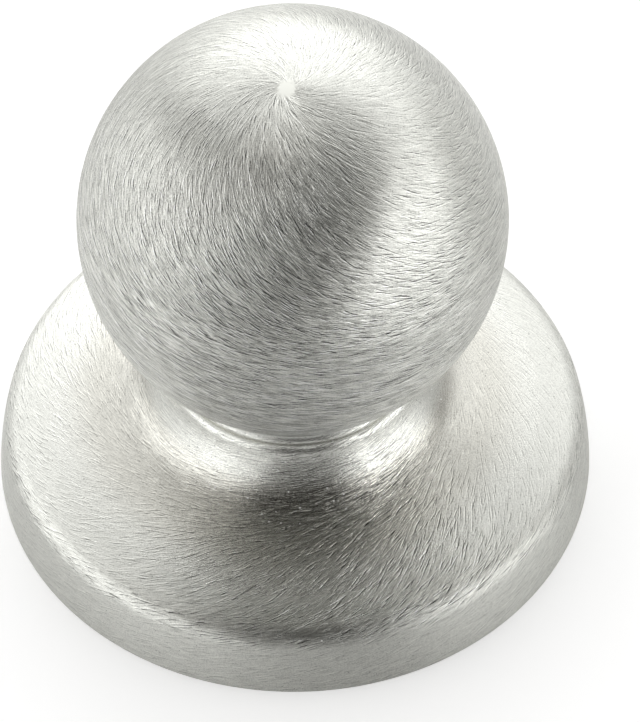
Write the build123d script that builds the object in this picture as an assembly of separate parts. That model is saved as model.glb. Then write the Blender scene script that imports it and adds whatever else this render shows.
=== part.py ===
from build123d import *
from math import cos, radians, sin, sqrt, tan
import os

# Cupboard knob, in millimetres: a ball on a waisted neck that flares into a round base,
# turned in one piece. The origin is the centre of the flat back, which lies on the
# cupboard door, and +Z runs along the knob's axis, away from the door.

# Base
base_diameter = 35.0
rim_height = 4.65  # height of the corner between the rim and the flared face, before rounding
rim_inset = 0.55  # how much nearer the axis that corner lies than the rim's foot
shoulder_round = 1.6
foot_round = 0.5

# Neck
neck_diameter = 14.9  # at the waist, the thinnest place
waist_height = 11.9
cove_round = 5.2  # radius of the hollow round below the waist
cove_turn = 28.5  # degrees that it turns outward before it runs on into the flared face
cove_reach = 3.0  # how strongly the flared face first keeps the direction of that round
flare_reach = 8.0  # how strongly it keeps its slope in from the rim
flare_slope = 20.0  # degrees that it falls at the rim

# Ball
ball_diameter = 25.0
ball_root_round = 0.96  # hollow round that leads from the waist into the ball

# Hole for the fixing screw, tapped for a 4 mm thread
tapping_diameter = 3.3
tapped_depth = 12.0
drill_point_angle = 118.0
mouth_chamfer = 0.5

# Metal
brass_density = 8.5  # grams per cubic centimetre

base_radius = base_diameter / 2
neck_radius = neck_diameter / 2
ball_radius = ball_diameter / 2
tapping_radius = tapping_diameter / 2

# The root round is upright at the waist and touches the ball, so the two centres lie
# the sum of their radii apart, and that sets how high the ball sits.
root_centre_distance = neck_radius + ball_root_round
centres_apart = ball_radius + ball_root_round
ball_rise = sqrt(centres_apart**2 - root_centre_distance**2)
ball_height = waist_height + ball_rise
root_share = ball_root_round / centres_apart


def turned_outline():
    """Half section through the axis, from the pole of the ball round to the back."""
    pole = (0, ball_height + ball_radius)
    equator = (ball_radius, ball_height)
    ball_root = (root_centre_distance * (1 - root_share), waist_height + ball_rise * root_share)
    waist = (neck_radius, waist_height)
    rim_corner = (base_radius - rim_inset, rim_height)
    rim_foot = (base_radius, 0)

    turn = radians(cove_turn)
    cove_end = (neck_radius + cove_round * (1 - cos(turn)), waist_height - cove_round * sin(turn))
    cove_handle = (cove_end[0] + cove_reach * sin(turn), cove_end[1] - cove_reach * cos(turn))
    flare_handle = (
        rim_corner[0] - flare_reach * cos(radians(flare_slope)),
        rim_corner[1] + flare_reach * sin(radians(flare_slope)),
    )

    ball = ThreePointArc(pole, equator, ball_root)
    root = TangentArc(waist, ball_root, tangent=(0, 1))
    cove = TangentArc(waist, cove_end, tangent=(0, -1))
    flare = Bezier(cove_end, cove_handle, flare_handle, rim_corner)
    rim = TangentArc(rim_foot, rim_corner, tangent=(0, 1))
    back_and_axis = Polyline(rim_foot, (0, 0), pole)
    return make_face(Plane.XZ * (Curve() + [ball, root, cove, flare, rim, back_and_axis]))


def tapped_hole():
    """Blind hole up the axis: a chamfered mouth, the tapped wall and the drill's point."""
    upwards = (Align.CENTER, Align.CENTER, Align.MIN)
    wall = Cylinder(tapping_radius, tapped_depth, align=upwards)
    mouth = Cone(tapping_radius + mouth_chamfer, tapping_radius, mouth_chamfer, align=upwards)
    point_height = tapping_radius / tan(radians(drill_point_angle / 2))
    point = Pos(0, 0, tapped_depth) * Cone(tapping_radius, 0, point_height, align=upwards)
    return wall + mouth + point


def rim_edge(solid, height):
    """Outer circular edge of the base at the given height."""
    level = solid.edges().filter_by(GeomType.CIRCLE).filter_by_position(
        Axis.Z, height - foot_round / 4, height + foot_round / 4
    )
    return level.sort_by(SortBy.RADIUS)[-1]


knob = revolve(turned_outline(), Axis.Z)
knob = fillet(rim_edge(knob, rim_height), shoulder_round)
knob = fillet(rim_edge(knob, 0), foot_round)
knob = knob - tapped_hole()
knob.label = "knob"

os.makedirs("parts", exist_ok=True)
export_step(knob, "parts/knob.step")

cubic_mm_per_cm = 1000
print("projection", round(ball_height + ball_radius, 3))
print("ball height", round(ball_height, 3))
print("mass in grams", round(knob.volume / cubic_mm_per_cm * brass_density, 1))
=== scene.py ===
import math

import bpy
import numpy as np
from mathutils import Matrix, Vector


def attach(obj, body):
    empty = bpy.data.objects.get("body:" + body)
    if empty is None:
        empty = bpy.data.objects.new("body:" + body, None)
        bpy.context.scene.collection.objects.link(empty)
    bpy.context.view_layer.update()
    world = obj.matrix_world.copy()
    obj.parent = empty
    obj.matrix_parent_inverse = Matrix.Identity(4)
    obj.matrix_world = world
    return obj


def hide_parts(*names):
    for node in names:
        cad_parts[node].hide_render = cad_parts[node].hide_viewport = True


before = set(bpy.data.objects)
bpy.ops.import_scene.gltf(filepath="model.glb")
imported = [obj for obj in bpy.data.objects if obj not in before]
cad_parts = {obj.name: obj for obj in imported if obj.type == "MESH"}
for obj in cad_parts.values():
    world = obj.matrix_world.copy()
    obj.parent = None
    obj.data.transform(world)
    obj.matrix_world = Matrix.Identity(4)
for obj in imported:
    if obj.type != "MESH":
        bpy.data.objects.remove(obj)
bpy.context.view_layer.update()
print("frame loaded")

mm = 0.001
micron = 0.000001

viewpoint = {
    "place": (1.519, -370.594, 465.766),  # millimetres
    "lookDown": 50.92,  # degrees below level
    "roll": -0.424,  # degrees
    "lens": 498.6,  # millimetres
    "sensor": 36.0,  # millimetres
    "nearest": 0.05,  # metres
    "farthest": 20.0,
}


def addCamera(look):
    data = bpy.data.cameras.new("photoView")
    data.lens = look["lens"]
    data.sensor_width = look["sensor"]
    data.sensor_fit = "AUTO"
    data.clip_start = look["nearest"]
    data.clip_end = look["farthest"]
    camera = bpy.data.objects.new("photoView", data)
    tip = Matrix.Rotation(math.radians(90 - look["lookDown"]), 4, "X")
    turn = Matrix.Rotation(math.radians(look["roll"]), 4, "Z")
    camera.matrix_world = Matrix.Translation(Vector(look["place"]) * mm) @ tip @ turn
    bpy.context.scene.collection.objects.link(camera)
    bpy.context.scene.camera = camera


addCamera(viewpoint)
bpy.context.scene.view_settings.view_transform = "Standard"
print("camera placed")


# small helpers for node trees
def newNode(tree, kind, inputs=None, **settings):
    node = tree.nodes.new(kind)
    for name, value in settings.items():
        setattr(node, name, value)
    for socket, value in (inputs or {}).items():
        plug(tree, value, node.inputs[socket])
    return node


def plug(tree, value, socket):
    if isinstance(value, bpy.types.NodeSocket):
        tree.links.new(value, socket)
    else:
        socket.default_value = value


def maths(tree, operation, *values, clamp=False):
    node = newNode(tree, "ShaderNodeMath", dict(enumerate(values)), operation=operation, use_clamp=clamp)
    return node.outputs[0]


def vectorMaths(tree, operation, *values):
    node = newNode(tree, "ShaderNodeVectorMath", dict(enumerate(values)), operation=operation)
    givesNumber = operation in ("DOT_PRODUCT", "LENGTH")
    return node.outputs["Value"] if givesNumber else node.outputs["Vector"]


def scaled(tree, vector, factor):
    # socket 3 is the number that the vector is multiplied by
    node = newNode(tree, "ShaderNodeVectorMath", {0: vector, 3: factor}, operation="SCALE")
    return node.outputs["Vector"]


def ramp(tree, value, start, end, atStart=0.0, atEnd=1.0, kind="SMOOTHSTEP", **settings):
    # runs from one value to another while the input runs from start to end
    node = newNode(tree, "ShaderNodeMapRange", {
        "Value": value,
        "From Min": start,
        "From Max": end,
        "To Min": atStart,
        "To Max": atEnd,
    }, interpolation_type=kind, **settings)
    return node.outputs[0]


def mixValues(tree, share, first, second):
    # sockets 2 and 3 are the Mix node's two numbers
    return newNode(tree, "ShaderNodeMix", {0: share, 2: first, 3: second}).outputs[0]


def mixColours(tree, share, first, second):
    # and 6 and 7 are its two colours
    node = newNode(tree, "ShaderNodeMix", {0: share, 6: first, 7: second}, data_type="RGBA")
    return node.outputs[2]


# Studio light: a soft room around the knob. Each area is a round patch of the room, given by
# the compass angle from +X, the height above the floor, its radius and the softness of its
# edge in degrees, and how much it adds or takes away.
studio = {
    "room": 2.30,
    "darkest": 0.04,  # no direction is darker than this
    "dimTint": (1.0, 0.945, 0.86, 1),  # the room's colour where it is dark
    "areas": {
        "windowBehind": (77, 46, 53, 10, 0.85),
        "wallLeft": (183, -4, 36, 20, 1.54),
        "wallRight": (352, -11, 22, 8, 3.28),
        "darkBehindCamera": (281, 30, 33, 13, -3.20),
        "shadeUpRight": (337, 61, 15, 9, -1.01),
        "shadeOverhead": (342, 66, 38, 6, -0.81),
        "shadeLeft": (177, 52, 57, 33, -1.91),
        "shadeLowRight": (29, -6, 42, 40, -1.98),
        "lowFrontLeft": (233, 19, 25, 15, 0.31),
        "lowFrontRight": (315, 10, 13, 12, 1.33),
    },
}


def buildWorld(light):
    world = bpy.data.worlds.new("softStudio")
    bpy.context.scene.world = world
    world.use_nodes = True
    tree = world.node_tree
    tree.nodes.clear()
    heading = newNode(tree, "ShaderNodeTexCoord").outputs["Generated"]
    total = light["room"]
    for name, (compass, height, radius, soft, strength) in light["areas"].items():
        compass = math.radians(compass)
        height = math.radians(height)
        level = math.cos(height)
        towards = (level * math.cos(compass), level * math.sin(compass), math.sin(height))
        facing = vectorMaths(tree, "DOT_PRODUCT", heading, towards)
        outside = math.cos(math.radians(radius + soft))
        inside = math.cos(math.radians(max(radius - soft, 0)))
        total = maths(tree, "ADD", total, ramp(tree, facing, outside, inside, 0.0, strength, label=name))
    total = maths(tree, "MAXIMUM", total, light["darkest"])
    bright = maths(tree, "MULTIPLY", total, 1.0, clamp=True)
    hue = mixColours(tree, bright, light["dimTint"], (1, 1, 1, 1))
    room = newNode(tree, "ShaderNodeBackground", {"Color": hue, "Strength": total})
    # the camera sees plain white beyond the floor
    white = newNode(tree, "ShaderNodeBackground", {"Color": (1, 1, 1, 1), "Strength": 1.0})
    seen = newNode(tree, "ShaderNodeLightPath").outputs["Is Camera Ray"]
    mixed = newNode(tree, "ShaderNodeMixShader", {0: seen, 1: room.outputs[0], 2: white.outputs[0]})
    newNode(tree, "ShaderNodeOutputWorld", {"Surface": mixed.outputs[0]})


buildWorld(studio)
print("light set")

ground = {
    "half": 1.5,  # metres
    "below": 0.00002,  # the floor lies this far under the knob's back, so that the two don't mix
    "colour": 0.68,
    "roughness": 0.9,
    "glow": 0.53,  # what the camera sees on top of the lit colour
    "glowInMetal": 0.17,  # and what the metal sees
}


def buildGround(look):
    # a flat square: the four corners lie half its side from the axis, each way
    square = np.array([(-1, -1), (1, -1), (1, 1), (-1, 1)]) * look["half"]
    corners = np.column_stack([square, np.full(len(square), -look["below"])])
    mesh = bpy.data.meshes.new("paleFloor")
    mesh.from_pydata(corners.tolist(), [], [(0, 1, 2, 3)])
    floor = bpy.data.objects.new("paleFloor", mesh)
    bpy.context.scene.collection.objects.link(floor)
    paper = bpy.data.materials.new("palePaper")
    paper.use_nodes = True
    tree = paper.node_tree
    tree.nodes.clear()
    seenBy = newNode(tree, "ShaderNodeLightPath").outputs
    mirrored = maths(tree, "MAXIMUM", seenBy["Is Glossy Ray"], seenBy["Is Transmission Ray"])
    glow = maths(tree, "MULTIPLY", mirrored, look["glowInMetal"])
    glow = maths(tree, "MULTIPLY_ADD", seenBy["Is Camera Ray"], look["glow"], glow)
    shade = look["colour"]
    matt = newNode(tree, "ShaderNodeBsdfPrincipled", {
        "Base Color": (shade, shade, shade, 1),
        "Roughness": look["roughness"],
        "Specular IOR Level": 0.0,
        "Emission Color": (1, 1, 1, 1),
        "Emission Strength": glow,
    })
    newNode(tree, "ShaderNodeOutputMaterial", {"Surface": matt.outputs[0]})
    mesh.materials.append(paper)


buildGround(ground)
print("floor laid")

# Knob, in millimetres and degrees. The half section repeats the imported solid's own sizes.
knobShape = {
    "baseDiameter": 35.0,
    "rimHeight": 4.65,
    "rimInset": 0.55,
    "shoulderRound": 1.6,
    "footRound": 0.5,
    "neckDiameter": 14.9,
    "waistHeight": 11.9,
    "coveRound": 5.2,
    "coveTurn": 28.5,
    "coveReach": 3.0,
    "neckGrooves": ((11.5, 1.05, 0.145), (10.7, 0.9, 0.1)),  # height, width and depth
    "flareReach": 8.0,
    "flareSlope": 20.0,
    "ballDiameter": 25.0,
    "ballRootRound": 0.96,
    "holeDiameter": 3.3,
    "threadDiameter": 4.0,
    "threadPitch": 0.7,
    "threadDepth": 12.0,
    "threadRunOut": 1.6,  # length over which the thread fades at the bottom of the hole
    "threadCrest": 0.10,  # half a crest's width, as a share of the pitch
    "threadFlank": 0.30,  # and a flank's width
    "drillPoint": 118.0,
    "mouthChamfer": 0.5,
    # how finely it is divided
    "segments": 272,  # around the knob, a whole number of times the hole's
    "holeSegments": 68,
    "rowsPerMm": 4.2,
    "rootFiner": 4,  # the root and the cove have this many times the rows, for the grooves
    "coveFiner": 6,
    "shoulderRows": 12,
    "footRows": 8,
    "backRings": 34,  # counting the foot's last one
    "backInner": 3.0,  # radius of the back's last ring
    "rowsPerThread": 8,
    "drillRings": (0.66, 0.33),  # shares of the hole's radius
}

# Brushing, in millimetres and degrees. An angle is measured on the surface from the line
# that leads straight away from the top, anticlockwise as seen from above.
brushing = {
    "hubLean": (-0.0214, -0.0587),  # the swirl on the ball centres on this point of its unit sphere
    "hubBlank": (0.50, 0.75),  # no strokes within the first radius, all of them from the second
    "ballAngles": ((0, 20), (25, 20), (78, 81), (180, 81)),  # by angle from the hub
    # by distance from the axis
    "baseAngles": ((8.9, -85), (10, -80), (11, -72), (12, -62), (13, -56), (15, -56), (16, -70),
                   (17.5, -83)),
    "steepest": -87,  # no stroke on the base leans further than this
    "crossing": 7.5,  # two sets of strokes cross at twice this angle
    "ballReach": (1.5, 175),  # strokes are followed between these angles from the hub
    "ballSteps": 6000,
    "baseSteps": 8000,
    "holeReach": 20,  # length by which the base's strokes are followed past its back
    "holeRadius": 2.0,  # radius that stands for the hole, which isn't brushed
    "baseShift": 500,  # keeps the base's strokes from repeating the ball's
    "leastSpan": 0.02,
    # how strongly the base is brushed, by bearing from +X
    "baseStrength": ((0, 0.25), (60, 0.35), (120, 0.5), (180, 0.5), (225, 0.55), (270, 0.95),
                     (288, 1.15), (305, 1.3), (318, 0.85), (330, 0.38), (345, 0.3), (360, 0.25)),
    # and the ball, by angle from the hub and by bearing
    "ballStrength": ((0, 0.8), (20, 0.85), (45, 1.2), (75, 1.5), (105, 1.9), (180, 1.9)),
    "ballSides": ((0, 0.5), (60, 0.7), (180, 0.95), (225, 1.1), (270, 1.35), (315, 0.8), (360, 0.5)),
    "rimFade": (-0.5, 0.1),  # heights from the rim's corner over which the base's strength sets in
}


def roundPoints(centre, radius, start, stop, count):
    # points on a circle: centre plus radius times (cosine, sine) of an angle that runs evenly
    angle = np.linspace(start, stop, count)
    return np.stack([centre[0] + radius * np.cos(angle), centre[1] + radius * np.sin(angle)], -1)


def sweepPoints(points, t):
    # cubic Bezier curve through its four control points at the values t
    t = t[:, None]
    a, b, c, d = (np.array(p) for p in points)
    return a * (1 - t) ** 3 + 3 * b * t * (1 - t) ** 2 + 3 * c * t**2 * (1 - t) + d * t**3


def turnedProfile(shape):
    # the half section as separate runs of (radius, height), top to bottom, each of which starts
    # where the one before it ends
    ballR = shape["ballDiameter"] / 2
    neckR = shape["neckDiameter"] / 2
    baseR = shape["baseDiameter"] / 2
    rootR = shape["ballRootRound"]
    waist = shape["waistHeight"]
    rootX = neckR + rootR
    rise = math.sqrt((ballR + rootR) ** 2 - rootX**2)
    ballZ = waist + rise

    def rows(length):
        return max(int(round(length * shape["rowsPerMm"])) + 1, 4)

    meet = math.atan2(-rise, rootX)  # direction from the ball's centre to where the root meets it
    ball = roundPoints((0, ballZ), ballR, math.pi / 2, meet, rows(ballR * (math.pi / 2 - meet)))
    ball[0, 0] = 0.0
    rootRows = shape["rootFiner"] * rows(rootR * -meet)
    root = roundPoints((rootX, waist), rootR, math.pi + meet, math.pi, rootRows)
    # the cove is a round below the waist, and the flare runs on from its end to the rim
    turn = math.radians(shape["coveTurn"])
    coveR = shape["coveRound"]
    coveRows = shape["coveFiner"] * rows(coveR * turn)
    cove = roundPoints((neckR + coveR, waist), coveR, math.pi, math.pi + turn, coveRows)
    # a groove's section is one wave of a cosine, as deep in its middle as it says
    for middle, width, depth in shape["neckGrooves"]:
        for run in (root, cove):
            across = np.clip((run[:, 1] - middle) / width, -0.5, 0.5)
            run[:, 0] -= depth * (0.5 + 0.5 * np.cos(2 * math.pi * across))
    slope = math.radians(shape["flareSlope"])
    corner = (baseR - shape["rimInset"], shape["rimHeight"])
    coveReach = shape["coveReach"]
    flareReach = shape["flareReach"]
    handles = (
        tuple(cove[-1]),
        (cove[-1, 0] + coveReach * math.sin(turn), cove[-1, 1] - coveReach * math.cos(turn)),
        (corner[0] - flareReach * math.cos(slope), corner[1] + flareReach * math.sin(slope)),
        corner,
    )
    # the rim is a circle that stands upright at the foot and passes through the corner
    rimR = (shape["rimInset"] ** 2 + shape["rimHeight"] ** 2) / (2 * shape["rimInset"])
    rimX = baseR - rimR
    # the shoulder round's centre lies its radius inside both the flare and the rim, and it
    # touches the flare in the outer part of the curve
    shoulderR = shape["shoulderRound"]
    t = np.linspace(0.6, 1.0, 4001)
    outerFlare = sweepPoints(handles, t)
    along = np.gradient(outerFlare, axis=0)
    along /= np.linalg.norm(along, axis=1)[:, None]
    inside = outerFlare + shoulderR * np.stack([along[:, 1], -along[:, 0]], -1)
    reachOut = np.hypot(inside[:, 0] - rimX, inside[:, 1])
    touch = np.interp(rimR - shoulderR, reachOut, t)
    centre = np.array([np.interp(touch, t, inside[:, 0]), np.interp(touch, t, inside[:, 1])])
    line = sweepPoints(handles, np.linspace(0, touch, 400))
    length = np.concatenate([[0], np.cumsum(np.hypot(*np.diff(line, axis=0).T))])
    even = np.linspace(0, length[-1], rows(length[-1]))
    flare = np.stack([np.interp(even, length, line[:, 0]), np.interp(even, length, line[:, 1])], -1)
    shoulderTop = math.atan2(*(line[-1] - centre)[::-1])
    shoulderEnd = math.atan2(centre[1], centre[0] - rimX)
    shoulder = roundPoints(centre, shoulderR, shoulderTop, shoulderEnd, shape["shoulderRows"])
    footR = shape["footRound"]
    footX = rimX + math.sqrt((rimR - footR) ** 2 - footR**2)
    footTop = math.atan2(footR, footX - rimX)
    rim = roundPoints((rimX, 0), rimR, shoulderEnd, footTop, rows(rimR * (shoulderEnd - footTop)))
    foot = roundPoints((footX, footR), footR, footTop, -math.pi / 2, shape["footRows"])
    runs = {
        "ball": ball,
        "root": root,
        "cove": cove,
        "flare": flare,
        "shoulder": shoulder,
        "rim": rim,
        "foot": foot,
    }
    return runs, ballZ


def buildKnob(shape, brush):
    # A turned surface: each point of the profile, (radius, height), goes round to
    # (radius times cosine, radius times sine, height) of evenly spaced bearings.
    around = shape["segments"]
    runs, ballZ = turnedProfile(shape)
    profile = np.concatenate([run[1:] for run in runs.values()])  # without the pole, a point of its own
    waistRow = len(runs["ball"]) + len(runs["root"]) - 2
    # the flat back runs in to the hole
    inner = shape["holeDiameter"] / 2
    mouth = inner + shape["mouthChamfer"]
    backRings = np.linspace(runs["foot"][-1, 0], shape["backInner"], shape["backRings"])[1:]
    outer = np.concatenate([profile, np.stack([backRings, np.zeros_like(backRings)], -1)])
    turn = np.arange(around) * (2 * math.pi / around)
    rings = np.stack([
        outer[:, 0, None] * np.cos(turn),
        outer[:, 0, None] * np.sin(turn),
        np.repeat(outer[:, 1, None], around, 1),
    ], -1)
    # hole: every ring has fewer points, and the thread pushes the wall out along a helix
    few = shape["holeSegments"]
    turnFew = np.arange(few) * (2 * math.pi / few)
    depth = shape["threadDepth"]
    pitch = shape["threadPitch"]
    up = np.arange(0, depth + 1e-6, pitch / shape["rowsPerThread"])
    height, bearing = np.meshgrid(up, turnFew, indexing="ij")
    phase = (height / pitch - bearing / (2 * math.pi)) % 1.0
    # a thread's section: straight flanks between flat crests and flat roots
    tooth = np.clip((np.abs(phase - 0.5) - shape["threadCrest"]) / shape["threadFlank"], 0, 1)
    fade = np.clip((depth - height) / shape["threadRunOut"], 0, 1)
    wall = inner + (shape["threadDiameter"] / 2 - inner) * tooth * fade
    wall = np.maximum(wall, mouth - height)
    hole = np.stack([wall * np.cos(bearing), wall * np.sin(bearing), height], -1)
    # drill point: a cone, so each ring lies as far up as it is narrower than the hole
    pointHeight = inner / math.tan(math.radians(shape["drillPoint"] / 2))
    share, bearing = np.meshgrid(shape["drillRings"], turnFew, indexing="ij")
    cone = np.stack([
        inner * share * np.cos(bearing),
        inner * share * np.sin(bearing),
        depth + pointHeight * (1 - share),
    ], -1)
    pole = np.array([[0, 0, ballZ + shape["ballDiameter"] / 2]])
    apex = np.array([[0, 0, depth + pointHeight]])
    points = np.concatenate([pole, rings.reshape(-1, 3), hole.reshape(-1, 3), cone.reshape(-1, 3), apex])

    # faces, as arrays of corner indices
    rowCount = len(outer)
    col = np.arange(around)
    nextCol = (col + 1) % around
    first = 1
    capTop = np.stack([np.zeros(around, int), first + col, first + nextCol], -1)
    row = np.arange(rowCount - 1)[:, None] * around + first
    quads = np.stack([row + col, row + around + col, row + around + nextCol, row + nextCol], -1)
    quads = quads.reshape(-1, 4)
    # each face between the back's last ring and the hole has one side on the hole and
    # several on the ring
    fewCol = np.arange(few)
    fewNext = (fewCol + 1) % few
    step = around // few
    last = first + (rowCount - 1) * around
    holeFirst = last + around
    joint = np.concatenate([
        last + (fewCol[:, None] * step + np.arange(step, -1, -1)) % around,
        holeFirst + fewCol[:, None],
        holeFirst + fewNext[:, None],
    ], 1)
    holeRows = len(up) + len(shape["drillRings"])
    rowFew = np.arange(holeRows - 1)[:, None] * few + holeFirst
    wallQuads = np.stack([
        rowFew + fewCol, rowFew + few + fewCol, rowFew + few + fewNext, rowFew + fewNext
    ], -1).reshape(-1, 4)
    apexIndex = len(points) - 1
    lastFew = holeFirst + (holeRows - 1) * few
    capEnd = np.stack([lastFew + fewCol, np.full(few, apexIndex), lastFew + fewNext], -1)

    mesh = bpy.data.meshes.new("knobTurned")
    groups = [capTop, quads, joint, wallQuads, capEnd]
    loops = np.concatenate([group.ravel() for group in groups]).astype(np.int32)
    sizes = np.concatenate([np.full(len(group), group.shape[1]) for group in groups])
    starts = np.concatenate([[0], np.cumsum(sizes)[:-1]]).astype(np.int32)
    mesh.vertices.add(len(points))
    mesh.vertices.foreach_set("co", (points * mm).astype(np.float32).ravel())
    mesh.loops.add(len(loops))
    mesh.loops.foreach_set("vertex_index", loops)
    mesh.polygons.add(len(sizes))
    mesh.polygons.foreach_set("loop_start", starts)
    mesh.update(calc_edges=True)
    mesh.validate()
    mesh.polygons.foreach_set("use_smooth", np.ones(len(sizes), bool))

    # The row of each face says which part it belongs to: the ball and its root above the waist,
    # the neck and the base below it, or the hole.
    jointRow = rowCount
    holeRow = rowCount + 1
    faceRow = np.concatenate([
        np.full(around, -1),
        np.repeat(np.arange(rowCount - 1), around),
        np.full(few, jointRow),
        np.full(len(wallQuads) + few, holeRow),
    ])
    loopRow = np.repeat(faceRow, sizes)
    corner = points[loops]
    onBall = loopRow < waistRow
    onHole = loopRow == holeRow

    # ball: angle from the hub and bearing round it
    lean = brush["hubLean"]
    hub = np.array([lean[0], lean[1], math.sqrt(1 - lean[0] ** 2 - lean[1] ** 2)])
    side = np.cross([0, 1, 0], hub)
    side /= np.linalg.norm(side)
    ahead = np.cross(hub, side)
    ballR = shape["ballDiameter"] / 2
    fromCentre = corner - np.array([0, 0, ballZ])
    out = fromCentre / np.linalg.norm(fromCentre, axis=1)[:, None]
    theta = np.arccos(np.clip(out @ hub, -1, 1))
    bearingBall = np.arctan2(out @ ahead, out @ side)
    roundBall = np.cross(hub, out)
    roundBall /= np.maximum(np.linalg.norm(roundBall, axis=1), 1e-9)[:, None]
    downBall = np.cross(roundBall, out)

    # base: length along the profile, bearing and radius
    lineLength = np.concatenate([[0], np.cumsum(np.hypot(*np.diff(outer, axis=0).T))])
    vertexRow = np.clip((loops - first) // around, 0, rowCount - 1)
    radius = np.hypot(corner[:, 0], corner[:, 1])
    holeArc = lineLength[-1] + shape["backInner"] - radius + corner[:, 2]
    arc = np.where(loops >= holeFirst, holeArc, lineLength[vertexRow])
    bearingBase = np.arctan2(corner[:, 1], corner[:, 0])
    backArc = lineLength[len(profile) - 1]
    onBack = (arc > backArc) & ~onBall

    def strokeFrame(extra):
        # Along a stroke the bearing turns by tan(angle) / radius for each step down the
        # surface, so bearing minus that sum names the stroke, and the sum of 1 / cos(angle)
        # is the distance along it.
        fromHub, leanings = np.array(brush["ballAngles"], float).T
        steps = np.radians(np.linspace(*brush["ballReach"], brush["ballSteps"]))
        angle = np.radians(np.interp(np.degrees(steps), fromHub, leanings) + extra)
        stepLength = ballR * np.gradient(steps)
        turned = np.cumsum(np.tan(angle) / (ballR * np.sin(steps)) * stepLength)
        walked = np.cumsum(stepLength / np.cos(angle))
        nameBall = bearingBall - np.interp(theta, steps, turned)
        alongBall = np.interp(theta, steps, walked)
        angleBall = np.radians(np.interp(np.degrees(theta), fromHub, leanings) + extra)
        spanBall = ballR * np.sin(theta) * np.cos(angleBall)

        fromAxis, leanings = np.array(brush["baseAngles"], float).T
        end = lineLength[-1]
        steps = np.linspace(lineLength[waistRow], end + brush["holeReach"], brush["baseSteps"])
        stepRadius = np.where(steps > end, brush["holeRadius"], np.interp(steps, lineLength, outer[:, 0]))
        angle = np.clip(np.interp(stepRadius, fromAxis, leanings) + extra, brush["steepest"], 0)
        angle = np.radians(np.where(steps > backArc, brush["steepest"], angle))
        stepLength = np.gradient(steps)
        turned = np.cumsum(np.tan(angle) / stepRadius * stepLength)
        walked = np.cumsum(stepLength / np.cos(angle))
        nameBase = bearingBase - np.interp(arc, steps, turned)
        alongBase = np.interp(arc, steps, walked) + brush["baseShift"]
        angleBase = np.interp(arc, steps, angle)
        spanBase = np.maximum(radius, brush["holeRadius"]) * np.cos(angleBase)

        name = np.where(onBall, nameBall, nameBase)
        walk = np.where(onBall, alongBall, alongBase)
        span = np.maximum(np.where(onBall, spanBall, spanBase), brush["leastSpan"])
        angle = np.where(onBall, angleBall, angleBase)
        return np.stack([np.cos(name), np.sin(name), walk], -1), span, angle

    frameA, spanA, angleA = strokeFrame(-brush["crossing"])
    frameB, spanB, angleB = strokeFrame(brush["crossing"])

    # direction across the strokes, in the surface
    middle = (angleA + angleB) / 2
    tangent = np.gradient(outer, axis=0)
    tangent /= np.linalg.norm(tangent, axis=1)[:, None]
    tangent = tangent[vertexRow]
    outward = np.stack([np.cos(bearingBase), np.sin(bearingBase)], -1)
    downBase = np.concatenate([outward * tangent[:, :1], tangent[:, 1:]], -1)
    roundBase = np.stack([-np.sin(bearingBase), np.cos(bearingBase), np.zeros(len(radius))], -1)
    down = np.where(onBall[:, None], downBall, downBase)
    roundly = np.where(onBall[:, None], roundBall, roundBase)
    across = -np.sin(middle)[:, None] * down + np.cos(middle)[:, None] * roundly
    across /= np.linalg.norm(across, axis=1)[:, None]
    # inside the blank hub it is the same everywhere
    near, far = brush["hubBlank"]
    onHub = onBall & (theta < near / ballR)
    across[onHub] = side - out[onHub] * (out[onHub] @ side)[:, None]

    # how strongly each place is brushed
    nearTop = onBall & (theta < 1)  # because the ball's far end is as close to the hub's axis
    brushed = np.where(nearTop, np.clip((ballR * np.sin(theta) - near) / (far - near), 0, 1), 1.0)
    brushed = brushed * brushed * (3 - 2 * brushed)
    bearing = np.degrees(bearingBase) % 360
    strength = np.interp(bearing, *zip(*brush["baseStrength"]))
    onTop = brushed * np.interp(np.degrees(theta), *zip(*brush["ballStrength"]))
    onTop = onTop * np.interp(bearing, *zip(*brush["ballSides"]))
    # the rim is brushed evenly
    fadeFrom, fadeTo = brush["rimFade"]
    aboveRim = np.clip((corner[:, 2] - shape["rimHeight"] - fadeFrom) / (fadeTo - fadeFrom), 0, 1)
    amount = np.where(onBall, onTop, 1 - (1 - strength) * aboveRim)
    amount = np.where(onHole | onBack, 0.0, amount)

    def keep(name, values):
        # a number or a vector for each corner of each face
        kind, part = ("FLOAT", "value") if values.ndim == 1 else ("FLOAT_VECTOR", "vector")
        layer = mesh.attributes.new(name, kind, "CORNER")
        layer.data.foreach_set(part, values.astype(np.float32).ravel())

    keep("strokesA", frameA)
    keep("strokesB", frameB)
    keep("spanA", spanA)
    keep("spanB", spanB)
    keep("across", across)
    keep("amount", amount)
    keep("ballShare", np.where(onBall, 1.0, 0.0))
    keep("hubShare", np.where(onBall, 1 - brushed, 0.0))
    keep("backShare", np.where(onBack & ~onHole, 1.0, 0.0))

    turned = bpy.data.objects.new("knobTurned", mesh)
    bpy.context.scene.collection.objects.link(turned)
    return turned


knob = buildKnob(knobShape, brushing)
print("knob turned:", len(knob.data.polygons), "faces", len(knob.data.vertices), "points")

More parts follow.
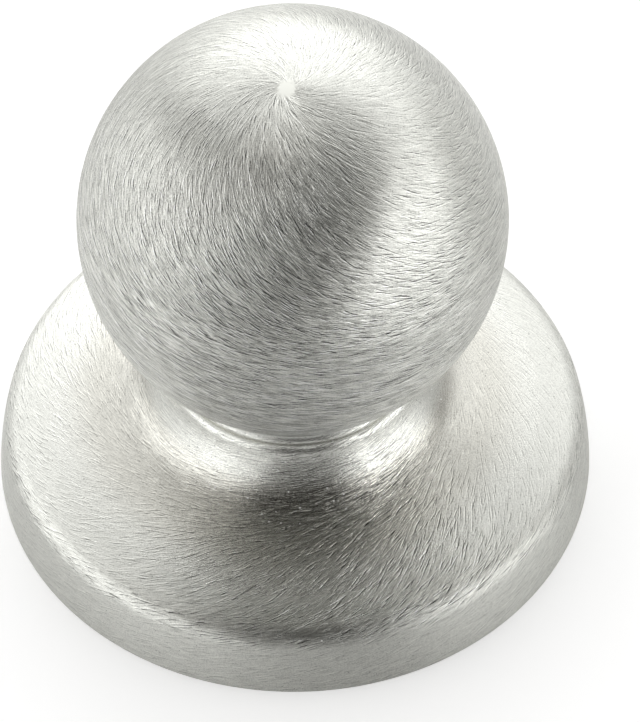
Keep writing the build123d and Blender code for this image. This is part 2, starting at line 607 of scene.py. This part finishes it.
# Brushed metal. Heights, widths and lengths are in millimetres, depths in microns. Each layer
# of strokes has its depth and its painted light and shade on the ball, and then on the base.
metal = {
    "colour": (0.655, 0.66, 0.621),
    "roughness": {"ball": 0.38, "rim": 0.38, "flare": 0.36, "neck": 0.23},
    "rimToFlare": (4.4, 4.8),  # heights between which the roughness changes
    "flareToNeck": (4.3, 6.3),
    "anisotropy": 0.85,
    "fineStrokes": {"width": 0.055, "length": 0.95, "sharp": 0.2,
                    "ball": (5.2, 0.18), "base": (4.8, 0.14)},
    "coarseStrokes": {"width": 0.12, "length": 1.6, "sharp": 0.5,
                      "ball": (6.2, 0.08), "base": (1.4, 0.05)},
    "scratches": {"width": 0.065, "length": 1.15, "from": 0.56, "to": 0.95, "aside": 0.055,
                  "ball": (6.5, 0.42), "base": (8.5, 0.52)},
    "fold": {"middle": 0.38, "gain": 1.6},  # brings the folded noise level with the plain one
    "seeds": {"A": 0.0, "B": 37.5},
    "nextSeed": 11.3,  # from one layer to the next
    "grooveDark": 1.35,  # painted shade and highlight: how much darker a groove is made than its shade, and a ridge lighter
    "ridgeLight": 0.85,
    "grain": {"size": 0.085, "ball": (1.5, 0.20), "base": (2.0, 0.16)},
    "hub": {"tone": 1.28, "roughness": 0.55},
    "rings": {"width": 0.10, "depth": 1.0, "shade": 0.12},
    # the crease under the ball keeps fewer strokes and is glossier, and its tone is a painted shade that
    # darkens it
    "crease": {"from": 11.15, "to": 13.2, "fade": 0.15, "tone": 0.75, "strokes": 0.3, "roughness": 0.22},
    "cove": {"from": 5.6, "to": 9.0, "fade": 1.0, "shadeTint": (0.855, 0.84, 0.82)},  # painted shade: the cove under the ball is made darker and a little warmer
    # shares of the strokes that are left on the neck and on the rim
    "neckStrokes": {"from": 7.5, "to": 14.0, "fade": 1.2, "share": 0.5},
    "rimStrokes": {"from": 4.4, "to": 3.4, "share": 0.35},
    "pits": {"cell": 0.55, "radius": 0.055, "tone": 0.45},
    # dust lies from and to these heights, with this fade
    "dust": {"cell": 0.46, "radius": 0.065, "cove": (6.2, 12.4, 1.5), "shoulder": (3.6, 4.9, 0.3),
             "shoulderShare": 0.8, "colour": (0.85, 0.85, 0.83, 1)},
}

noiseGain = 4.0  # Blender's noise less its middle, 0.5, times this, runs from about -1 to 1


def strokeGroup():
    # Strokes of one width: noise that is stretched along each stroke. The stroke's name runs
    # round a circle as (cosine, sine), and that circle's size doubles in steps, so that the
    # strokes keep their width where the lines draw together. Two steps are blended.
    tree = bpy.data.node_groups.new("brushStrokes", "ShaderNodeTree")
    tree.interface.new_socket(name="Frame", in_out="INPUT", socket_type="NodeSocketVector")
    for name in ("Span", "Width", "Length", "Seed", "Aside"):
        tree.interface.new_socket(name=name, in_out="INPUT", socket_type="NodeSocketFloat")
    tree.interface.new_socket(name="Stroke", in_out="OUTPUT", socket_type="NodeSocketFloat")
    given = newNode(tree, "NodeGroupInput").outputs
    size = maths(tree, "LOGARITHM", maths(tree, "DIVIDE", given["Span"], given["Width"]), 2.0)
    step = maths(tree, "FLOOR", size)
    share = maths(tree, "SUBTRACT", size, step)
    rest = maths(tree, "SUBTRACT", 1.0, share)
    cosine, sine, along = newNode(tree, "ShaderNodeSeparateXYZ", {0: given["Frame"]}).outputs
    # a step aside turns the name by that width over the span
    turn = maths(tree, "DIVIDE", given["Aside"], given["Span"])
    east = maths(tree, "MULTIPLY_ADD", maths(tree, "MULTIPLY", sine, -1.0), turn, cosine)
    north = maths(tree, "MULTIPLY_ADD", cosine, turn, sine)
    walk = maths(tree, "ADD", maths(tree, "DIVIDE", along, given["Length"]), given["Seed"])
    total = 0.0
    for extra, weight in ((0.0, rest), (1.0, share)):
        circle = maths(tree, "POWER", 2.0, maths(tree, "ADD", step, extra))
        spot = newNode(tree, "ShaderNodeCombineXYZ", {
            0: maths(tree, "MULTIPLY", east, circle),
            1: maths(tree, "MULTIPLY", north, circle),
            2: walk,
        })
        noise = newNode(tree, "ShaderNodeTexNoise", {
            "Vector": spot.outputs[0], "Scale": 1.0, "Detail": 0.0,
        }, noise_dimensions="3D").outputs[0]
        total = maths(tree, "MULTIPLY_ADD", maths(tree, "SUBTRACT", noise, 0.5), weight, total)
    # keep the strength of the blend even between the steps
    power = maths(tree, "ADD", maths(tree, "MULTIPLY", share, share), maths(tree, "MULTIPLY", rest, rest))
    stroke = maths(tree, "DIVIDE", total, maths(tree, "SQRT", power))
    newNode(tree, "NodeGroupOutput", {0: maths(tree, "MULTIPLY", stroke, noiseGain)})
    return tree


def speckGroup():
    # Small round specks: the points of a Voronoi pattern that happen to lie in the surface.
    tree = bpy.data.node_groups.new("specks", "ShaderNodeTree")
    tree.interface.new_socket(name="Place", in_out="INPUT", socket_type="NodeSocketVector")
    for name in ("Cell", "Radius"):
        tree.interface.new_socket(name=name, in_out="INPUT", socket_type="NodeSocketFloat")
    tree.interface.new_socket(name="Mask", in_out="OUTPUT", socket_type="NodeSocketFloat")
    given = newNode(tree, "NodeGroupInput").outputs
    inCells = scaled(tree, given["Place"], maths(tree, "DIVIDE", 1 / mm, given["Cell"]))
    cells = newNode(tree, "ShaderNodeTexVoronoi", {"Vector": inCells, "Scale": 1.0}, feature="F1")
    distance = maths(tree, "MULTIPLY", cells.outputs["Distance"], given["Cell"])
    # full within half the radius, and gone at the radius
    mask = ramp(tree, distance, given["Radius"], maths(tree, "MULTIPLY", given["Radius"], 0.5))
    newNode(tree, "NodeGroupOutput", {0: mask})
    return tree


def buildMetal(look):
    material = bpy.data.materials.new("brushedMetal")
    material.use_nodes = True
    tree = material.node_tree
    tree.nodes.clear()
    strokes = strokeGroup()
    specks = speckGroup()

    def reading(name, output="Fac"):
        return newNode(tree, "ShaderNodeAttribute", attribute_name=name).outputs[output]

    ballShare = reading("ballShare")
    blank = reading("hubShare")
    place = newNode(tree, "ShaderNodeTexCoord").outputs["Object"]
    east, north, level = newNode(tree, "ShaderNodeSeparateXYZ", {0: place}).outputs

    def byPart(onBase, onBall):
        # one value on the ball, and another on the neck and the base
        return maths(tree, "MULTIPLY_ADD", ballShare, onBall - onBase, onBase)

    offBall = byPart(1.0, 0.0)

    def fromTo(heights, atStart=0.0, atEnd=1.0, kind="SMOOTHSTEP"):
        # runs from one value to another between two heights
        return ramp(tree, level, heights[0] * mm, heights[1] * mm, atStart, atEnd, kind)

    def between(low, high, fade):
        # 1 between two heights, and 0 outside them
        return maths(tree, "MULTIPLY", fromTo((low, low + fade)), fromTo((high, high - fade)))

    def eased(value, mask, share):
        # where the mask is 1, only this share of the value is left
        return maths(tree, "MULTIPLY", value, maths(tree, "MULTIPLY_ADD", mask, share - 1, 1.0))

    def strokesOf(which, layer, seed, aside=0.0):
        return newNode(tree, "ShaderNodeGroup", {
            "Frame": reading("strokes" + which, "Vector"),
            "Span": reading("span" + which),
            "Width": layer["width"],
            "Length": layer["length"],
            "Seed": seed,
            "Aside": aside,
        }, node_tree=strokes).outputs[0]

    def specksOf(layer):
        return newNode(tree, "ShaderNodeGroup", {
            "Place": place, "Cell": layer["cell"], "Radius": layer["radius"],
        }, node_tree=specks).outputs[0]

    def press(stroke, layer, height, shade):
        # adds a layer's strokes to the height and to the painted light and shade
        depth = byPart(layer["base"][0], layer["ball"][0])
        paintedLightAndShade = byPart(layer["base"][1], layer["ball"][1])
        height = maths(tree, "MULTIPLY_ADD", stroke, depth, height)
        # the shade sum is painted light where it is above 0 and painted shade where it is below
        return height, maths(tree, "MULTIPLY_ADD", stroke, paintedLightAndShade, shade)

    height, shade = 0.0, 0.0
    fold = look["fold"]
    for which, seed in look["seeds"].items():
        for name in ("fineStrokes", "coarseStrokes"):
            layer = look[name]
            smooth = strokesOf(which, layer, seed)
            # a sharp stroke is a crease, the folded middle of the smooth one
            folded = maths(tree, "SUBTRACT", maths(tree, "ABSOLUTE", smooth), fold["middle"])
            stroke = maths(tree, "MULTIPLY", smooth, 1 - layer["sharp"])
            stroke = maths(tree, "MULTIPLY_ADD", folded, fold["gain"] * layer["sharp"], stroke)
            height, shade = press(stroke, layer, height, shade)
            seed += look["nextSeed"]
        # single scratches: the highest parts of a fine long pattern. Each is a groove with a painted
        # shaded side and, a step aside, a painted highlight.
        layer = look["scratches"]
        groove = ramp(tree, strokesOf(which, layer, seed), layer["from"], layer["to"])
        bright = ramp(tree, strokesOf(which, layer, seed, layer["aside"]), layer["from"], layer["to"])
        height = maths(tree, "MULTIPLY_ADD", groove, byPart(-layer["base"][0], -layer["ball"][0]), height)
        # painted highlight on the side a step aside, less painted shade on the groove
        paintedHighlightAndShade = maths(tree, "SUBTRACT", bright, groove)
        shade = maths(tree, "MULTIPLY_ADD", paintedHighlightAndShade, byPart(layer["base"][1], layer["ball"][1]), shade)

    # where the strokes are strong and where they are weak: the brush hardly reaches the crease
    # under the ball
    crease = look["crease"]
    inCrease = between(crease["from"], crease["to"], crease["fade"])
    amount = eased(reading("amount"), inCrease, crease["strokes"])
    neck = look["neckStrokes"]
    upTheNeck = maths(tree, "MULTIPLY", between(neck["from"], neck["to"], neck["fade"]), offBall)
    amount = eased(amount, upTheNeck, neck["share"])
    rim = look["rimStrokes"]
    amount = eased(amount, fromTo((rim["from"], rim["to"])), rim["share"])
    height = maths(tree, "MULTIPLY", height, amount)
    shade = maths(tree, "MULTIPLY", shade, amount)

    grain = look["grain"]
    grit = newNode(tree, "ShaderNodeTexNoise", {
        "Vector": place, "Scale": 1 / (grain["size"] * mm), "Detail": 1.0, "Roughness": 0.6,
    }).outputs[0]
    grit = maths(tree, "MULTIPLY", maths(tree, "SUBTRACT", grit, 0.5), noiseGain)
    grit = maths(tree, "MULTIPLY", grit, maths(tree, "SUBTRACT", 1.0, blank))
    height, shade = press(grit, grain, height, shade)

    # the flat back keeps the rings of the turning tool
    rings = look["rings"]
    flat = newNode(tree, "ShaderNodeCombineXYZ", {0: east, 1: north}).outputs[0]
    ring = newNode(tree, "ShaderNodeTexNoise", {
        "W": vectorMaths(tree, "LENGTH", flat), "Scale": 1 / (rings["width"] * mm), "Detail": 1.0,
    }, noise_dimensions="1D").outputs[0]
    ring = maths(tree, "MULTIPLY", maths(tree, "SUBTRACT", ring, 0.5), reading("backShare"))
    height = maths(tree, "MULTIPLY_ADD", ring, noiseGain * rings["depth"], height)
    bump = newNode(tree, "ShaderNodeBump", {"Height": height, "Distance": micron, "Strength": 1.0})

    # painted shade and highlight: grooves are darkened and ridges lightened in the colour
    tone = maths(tree, "MULTIPLY_ADD", maths(tree, "MAXIMUM", shade, 0.0), look["ridgeLight"], 1.0)
    tone = maths(tree, "MULTIPLY_ADD", maths(tree, "MINIMUM", shade, 0.0), look["grooveDark"], tone)
    tone = maths(tree, "MULTIPLY_ADD", ring, noiseGain * rings["shade"], tone)
    # the brush leaves a matt patch where its strokes start, near the top of the ball
    hub = look["hub"]
    tone = maths(tree, "MULTIPLY_ADD", blank, hub["tone"] - 1, tone)
    pits = look["pits"]
    tone = eased(tone, specksOf(pits), pits["tone"])
    # painted shade: the crease under the ball is darkened
    tone = eased(tone, inCrease, crease["tone"])
    colour = scaled(tree, look["colour"], tone)
    # painted shade: the colour is darkened and warmed a little in the cove under the ball
    cove = look["cove"]
    coveShade = vectorMaths(tree, "MULTIPLY", colour, cove["shadeTint"])
    inCove = maths(tree, "MULTIPLY", between(cove["from"], cove["to"], cove["fade"]), offBall)
    colour = mixColours(tree, inCove, colour, coveShade)
    # dust lies in the cove, in the crease and on the shoulder
    dust = look["dust"]
    dustInCove = maths(tree, "MULTIPLY", between(*dust["cove"]), offBall)
    dustOnShoulder = maths(tree, "MULTIPLY", between(*dust["shoulder"]), dust["shoulderShare"])
    where = maths(tree, "MAXIMUM", maths(tree, "MAXIMUM", dustInCove, dustOnShoulder), inCrease)
    dusty = maths(tree, "MULTIPLY", specksOf(dust), where)
    colour = mixColours(tree, dusty, colour, dust["colour"])

    gloss = look["roughness"]
    rough = fromTo(look["rimToFlare"], gloss["rim"], gloss["flare"], "LINEAR")
    rough = mixValues(tree, ballShare, rough, gloss["ball"])
    onNeck = maths(tree, "MULTIPLY", fromTo(look["flareToNeck"]), offBall)
    rough = mixValues(tree, onNeck, rough, gloss["neck"])
    rough = mixValues(tree, inCrease, rough, crease["roughness"])
    rough = mixValues(tree, blank, rough, hub["roughness"])

    shader = newNode(tree, "ShaderNodeBsdfPrincipled", {
        "Base Color": colour,
        "Metallic": maths(tree, "SUBTRACT", 1.0, dusty),
        "Roughness": rough,
        "Anisotropic": look["anisotropy"],
        "Tangent": reading("across", "Vector"),
        "Normal": bump.outputs[0],
    })
    newNode(tree, "ShaderNodeOutputMaterial", {"Surface": shader.outputs[0]})
    return material


knob.data.materials.append(buildMetal(metal))
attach(knob, "root")
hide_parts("knob")
print("metal brushed")

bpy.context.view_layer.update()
